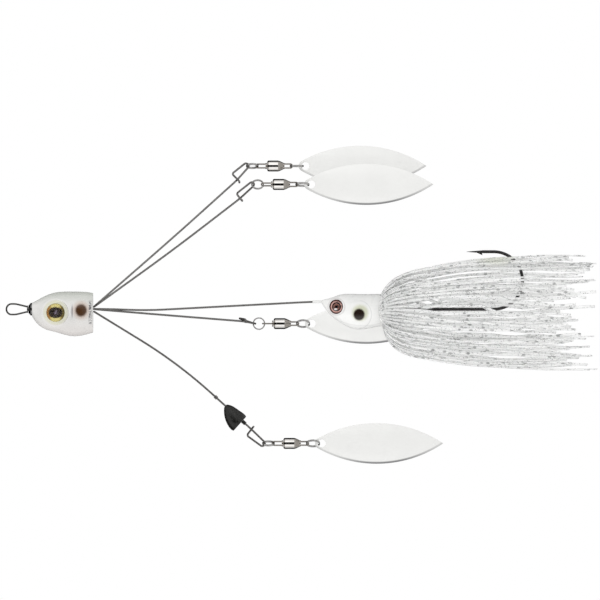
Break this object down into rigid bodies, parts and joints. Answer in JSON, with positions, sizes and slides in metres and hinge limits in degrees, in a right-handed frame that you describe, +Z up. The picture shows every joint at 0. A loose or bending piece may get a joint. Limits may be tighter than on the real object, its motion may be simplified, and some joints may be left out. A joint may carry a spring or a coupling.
{
  "type": "multi-arm spinnerbait",
  "caption": "Hanging wire-arm spinnerbait: fish-head hub on a swivelling line tie, bladed arms round a skirted jig with one hook, weight on the keel arm.",
  "frame": {"origin": "the point where the line pulls, at the inside top of the line-tie loop, with the lure hanging from it", "axes": "+Z up towards the line, which is forward when the lure swims; +X towards the upper arms, which is up when it swims; -X the keel arm; -Y the left side"},
  "size_m": [0.1142, 0.0903, 0.2036],
  "materials": {
    "stainless_wire": "polished",
    "line_tie_wire": "polished",
    "swivel_chrome": "polished",
    "split_ring": "polished",
    "blade_paint": "gloss",
    "head_paint": "gloss",
    "weight_paint": "satin",
    "hook_nickel": "polished",
    "gold_iris": "gloss",
    "maroon_iris": "gloss",
    "clear_dome": "gloss",
    "silicone_strands": "satin",
    "collar_rubber": "satin",
    "bearing_steel": "polished"
  },
  "bodies": {
    "line_tie": {"line_tie_eye": "line_tie_wire"},
    "rig": {"line_tie_swivel_barrel": "swivel_chrome", "front_head": "head_paint", "front_eye_left_iris": "gold_iris", "front_eye_right_iris": "gold_iris", "front_eye_left_dome": "clear_dome", "front_eye_right_dome": "clear_dome", "arm_roots": "stainless_wire", "centre_wire": "stainless_wire", "jig_nose_sleeve": "head_paint", "jig_head": "head_paint", "jig_eye_left_iris": "maroon_iris", "jig_eye_right_iris": "maroon_iris", "jig_eye_left_dome": "clear_dome", "jig_eye_right_dome": "clear_dome", "hook": "hook_nickel", "skirt": "silicone_strands", "skirt_collar": "collar_rubber"},
    "upper_right_arm": {"upper_right_arm_wire": "stainless_wire"},
    "upper_right_upper_ring_body": {"upper_right_upper_ring": "split_ring"},
    "upper_right_rotor": {"upper_right_swivel_rotor": "swivel_chrome"},
    "upper_right_barrel": {"upper_right_swivel_barrel": "swivel_chrome", "upper_right_swivel_balls": "bearing_steel", "upper_right_swivel_eye": "swivel_chrome"},
    "upper_right_lower_ring_body": {"upper_right_lower_ring": "split_ring"},
    "upper_right_blade_body": {"upper_right_blade": "blade_paint"},
    "upper_left_arm": {"upper_left_arm_wire": "stainless_wire"},
    "upper_left_upper_ring_body": {"upper_left_upper_ring": "split_ring"},
    "upper_left_rotor": {"upper_left_swivel_rotor": "swivel_chrome"},
    "upper_left_barrel": {"upper_left_swivel_barrel": "swivel_chrome", "upper_left_swivel_balls": "bearing_steel", "upper_left_swivel_eye": "swivel_chrome"},
    "upper_left_lower_ring_body": {"upper_left_lower_ring": "split_ring"},
    "upper_left_blade_body": {"upper_left_blade": "blade_paint"},
    "right_arm": {"right_arm_wire": "stainless_wire"},
    "right_upper_ring_body": {"right_upper_ring": "split_ring"},
    "right_rotor": {"right_swivel_rotor": "swivel_chrome"},
    "right_barrel": {"right_swivel_barrel": "swivel_chrome", "right_swivel_balls": "bearing_steel", "right_swivel_eye": "swivel_chrome"},
    "right_lower_ring_body": {"right_lower_ring": "split_ring"},
    "right_blade_body": {"right_blade": "blade_paint"},
    "keel_arm": {"keel_arm_wire": "stainless_wire", "keel_weight": "weight_paint", "keel_weight_tube": "weight_paint", "keel_weight_stop": "stainless_wire"},
    "keel_upper_ring_body": {"keel_upper_ring": "split_ring"},
    "keel_rotor": {"keel_swivel_rotor": "swivel_chrome"},
    "keel_barrel": {"keel_swivel_barrel": "swivel_chrome", "keel_swivel_balls": "bearing_steel", "keel_swivel_eye": "swivel_chrome"},
    "keel_lower_ring_body": {"keel_lower_ring": "split_ring"},
    "keel_blade_body": {"keel_blade": "blade_paint"}
  },
  "joints": [
    {"name": "line_tie_spin", "type": "hinge", "parent": "line_tie", "child": "rig", "pos_m": [0, 0, -0.01], "axis": [0, 0, 1], "continuous": true},
    {"name": "upper_right_arm_flex", "type": "hinge", "parent": "rig", "child": "upper_right_arm", "pos_m": [0.001, 0.0004, -0.03112], "axis": [0.4067, -0.9135, 0], "range_deg": [-6, 12], "stiffness_Nm_per_rad": 0.075, "springref_deg": 1.03},
    {"name": "upper_right_upper_ring_swing", "type": "hinge", "parent": "upper_right_arm", "child": "upper_right_upper_ring_body", "pos_m": [0.05151, 0.02291, -0.08644], "axis": [0.9397, 0.342, 0], "range_deg": [-30, 30]},
    {"name": "upper_right_swivel_tilt", "type": "hinge", "parent": "upper_right_upper_ring_body", "child": "upper_right_rotor", "pos_m": [0.05151, 0.02291, -0.08978], "axis": [-0.342, 0.9397, 0], "range_deg": [-40, 15]},
    {"name": "upper_right_swivel_spin", "type": "hinge", "parent": "upper_right_rotor", "child": "upper_right_barrel", "pos_m": [0.05151, 0.02291, -0.09309], "axis": [0, 0, 1], "continuous": true},
    {"name": "upper_right_lower_ring_swing", "type": "hinge", "parent": "upper_right_barrel", "child": "upper_right_lower_ring_body", "pos_m": [0.05151, 0.02291, -0.10139], "axis": [1, 0, 0], "range_deg": [-15, 30]},
    {"name": "upper_right_blade_swing", "type": "hinge", "parent": "upper_right_lower_ring_body", "child": "upper_right_blade_body", "pos_m": [0.05151, 0.02291, -0.10599], "axis": [0, -1, 0], "range_deg": [-20, 30]},
    {"name": "upper_left_arm_flex", "type": "hinge", "parent": "rig", "child": "upper_left_arm", "pos_m": [0.00087, -0.0006, -0.03112], "axis": [-0.6157, -0.788, 0], "range_deg": [-6, 12], "stiffness_Nm_per_rad": 0.075, "springref_deg": 1.01},
    {"name": "upper_left_upper_ring_swing", "type": "hinge", "parent": "upper_left_arm", "child": "upper_left_upper_ring_body", "pos_m": [0.0445, -0.03186, -0.08849], "axis": [0.6691, -0.7431, 0], "range_deg": [-30, 12]},
    {"name": "upper_left_swivel_tilt", "type": "hinge", "parent": "upper_left_upper_ring_body", "child": "upper_left_rotor", "pos_m": [0.0445, -0.03186, -0.09183], "axis": [0.7431, 0.6691, 0], "range_deg": [-40, 15]},
    {"name": "upper_left_swivel_spin", "type": "hinge", "parent": "upper_left_rotor", "child": "upper_left_barrel", "pos_m": [0.0445, -0.03186, -0.09514], "axis": [0, 0, 1], "continuous": true},
    {"name": "upper_left_lower_ring_swing", "type": "hinge", "parent": "upper_left_barrel", "child": "upper_left_lower_ring_body", "pos_m": [0.0445, -0.03186, -0.10344], "axis": [-0.9781, -0.2079, 0], "range_deg": [-15, 30]},
    {"name": "upper_left_blade_swing", "type": "hinge", "parent": "upper_left_lower_ring_body", "child": "upper_left_blade_body", "pos_m": [0.0445, -0.03186, -0.10804], "axis": [0.2079, -0.9781, 0], "range_deg": [-20, 30]},
    {"name": "right_arm_flex", "type": "hinge", "parent": "rig", "child": "right_arm", "pos_m": [0.00001, 0.00098, -0.03112], "axis": [0.9959, 0.0906, 0], "range_deg": [-6, 12], "stiffness_Nm_per_rad": 0.075, "springref_deg": 0.99},
    {"name": "right_upper_ring_swing", "type": "hinge", "parent": "right_arm", "child": "right_upper_ring_body", "pos_m": [-0.00523, 0.05366, -0.08874], "axis": [0, 1, 0], "range_deg": [-30, 30]},
    {"name": "right_swivel_tilt", "type": "hinge", "parent": "right_upper_ring_body", "child": "right_rotor", "pos_m": [-0.00523, 0.05366, -0.09208], "axis": [-1, 0, 0], "range_deg": [-40, 15]},
    {"name": "right_swivel_spin", "type": "hinge", "parent": "right_rotor", "child": "right_barrel", "pos_m": [-0.00523, 0.05366, -0.09539], "axis": [0, 0, 1], "continuous": true},
    {"name": "right_lower_ring_swing", "type": "hinge", "parent": "right_barrel", "child": "right_lower_ring_body", "pos_m": [-0.00523, 0.05366, -0.10369], "axis": [0.848, 0.5299, 0], "range_deg": [-15, 30]},
    {"name": "right_blade_swing", "type": "hinge", "parent": "right_lower_ring_body", "child": "right_blade_body", "pos_m": [-0.00523, 0.05366, -0.10829], "axis": [0.5299, -0.848, 0], "range_deg": [-20, 30]},
    {"name": "keel_arm_flex", "type": "hinge", "parent": "rig", "child": "keel_arm", "pos_m": [-0.00088, 0, -0.03112], "axis": [0, 1, 0], "range_deg": [-6, 12], "stiffness_Nm_per_rad": 0.09, "springref_deg": 1.13},
    {"name": "keel_upper_ring_swing", "type": "hinge", "parent": "keel_arm", "child": "keel_upper_ring_body", "pos_m": [-0.04808, 0, -0.09229], "axis": [-0.9397, 0.342, 0], "range_deg": [-30, 30]},
    {"name": "keel_swivel_tilt", "type": "hinge", "parent": "keel_upper_ring_body", "child": "keel_rotor", "pos_m": [-0.04808, 0, -0.09563], "axis": [-0.342, -0.9397, 0], "range_deg": [-40, 15]},
    {"name": "keel_swivel_spin", "type": "hinge", "parent": "keel_rotor", "child": "keel_barrel", "pos_m": [-0.04808, 0, -0.09894], "axis": [0, 0, 1], "continuous": true},
    {"name": "keel_lower_ring_swing", "type": "hinge", "parent": "keel_barrel", "child": "keel_lower_ring_body", "pos_m": [-0.04808, 0, -0.10724], "axis": [0.8829, 0.4695, 0], "range_deg": [-15, 30]},
    {"name": "keel_blade_swing", "type": "hinge", "parent": "keel_lower_ring_body", "child": "keel_blade_body", "pos_m": [-0.04808, 0, -0.11184], "axis": [-0.4695, 0.8829, 0], "range_deg": [-20, 30]}
  ]
}
